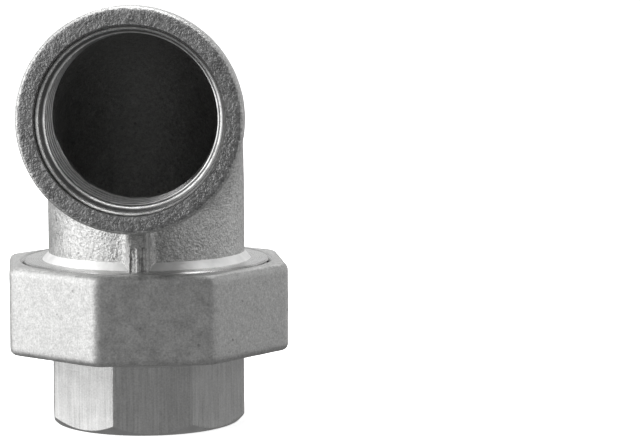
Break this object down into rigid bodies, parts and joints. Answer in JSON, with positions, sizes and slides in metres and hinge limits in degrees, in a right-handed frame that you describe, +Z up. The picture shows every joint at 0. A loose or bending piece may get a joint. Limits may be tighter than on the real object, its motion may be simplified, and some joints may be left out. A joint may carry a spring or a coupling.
{
  "type": "pipe union",
  "caption": "Right-angle pipe union elbow with a female thread at each end, an octagonal union nut and an octagonal tailpiece.",
  "frame": {"origin": "centre of the fitting's footprint box, on the plane that the tailpiece's end face stands on", "axes": "+Z up along the union axis, from the tailpiece to the elbow; -Y out of the elbow's outlet"},
  "size_m": [0.0558, 0.0655, 0.0822],
  "materials": {
    "cast_steel": "shot-blasted casting with machined thread, collar and mouth",
    "nut_steel": "shot-blasted casting with machined bore",
    "machined_steel": "turned and milled, satin",
    "white_plastic": "smooth PTFE"
  },
  "bodies": {
    "tail": {"tailpiece": "machined_steel"},
    "gasket": {"seat_gasket": "white_plastic"},
    "nut": {"union_nut": "nut_steel"},
    "elbow": {"elbow_body": "cast_steel"}
  },
  "joints": [
    {"name": "elbow_swivel", "type": "hinge", "parent": "tail", "child": "gasket", "pos_m": [0, 0.00472, 0.0227], "axis": [0, 0, 1], "continuous": true},
    {"name": "nut_turn", "type": "hinge", "parent": "gasket", "child": "nut", "pos_m": [0, 0.00472, 0.0187], "axis": [0, 0, -1], "range_deg": [0, 1440]},
    {"name": "draw_apart", "type": "slide", "parent": "gasket", "child": "elbow", "axis": [0, 0, 1], "range_m": [0, 0.00924]}
  ],
  "couplings": [
    {"joint": "nut_turn", "follows": "draw_apart", "rad_per_m": 2721.2}
  ]
}
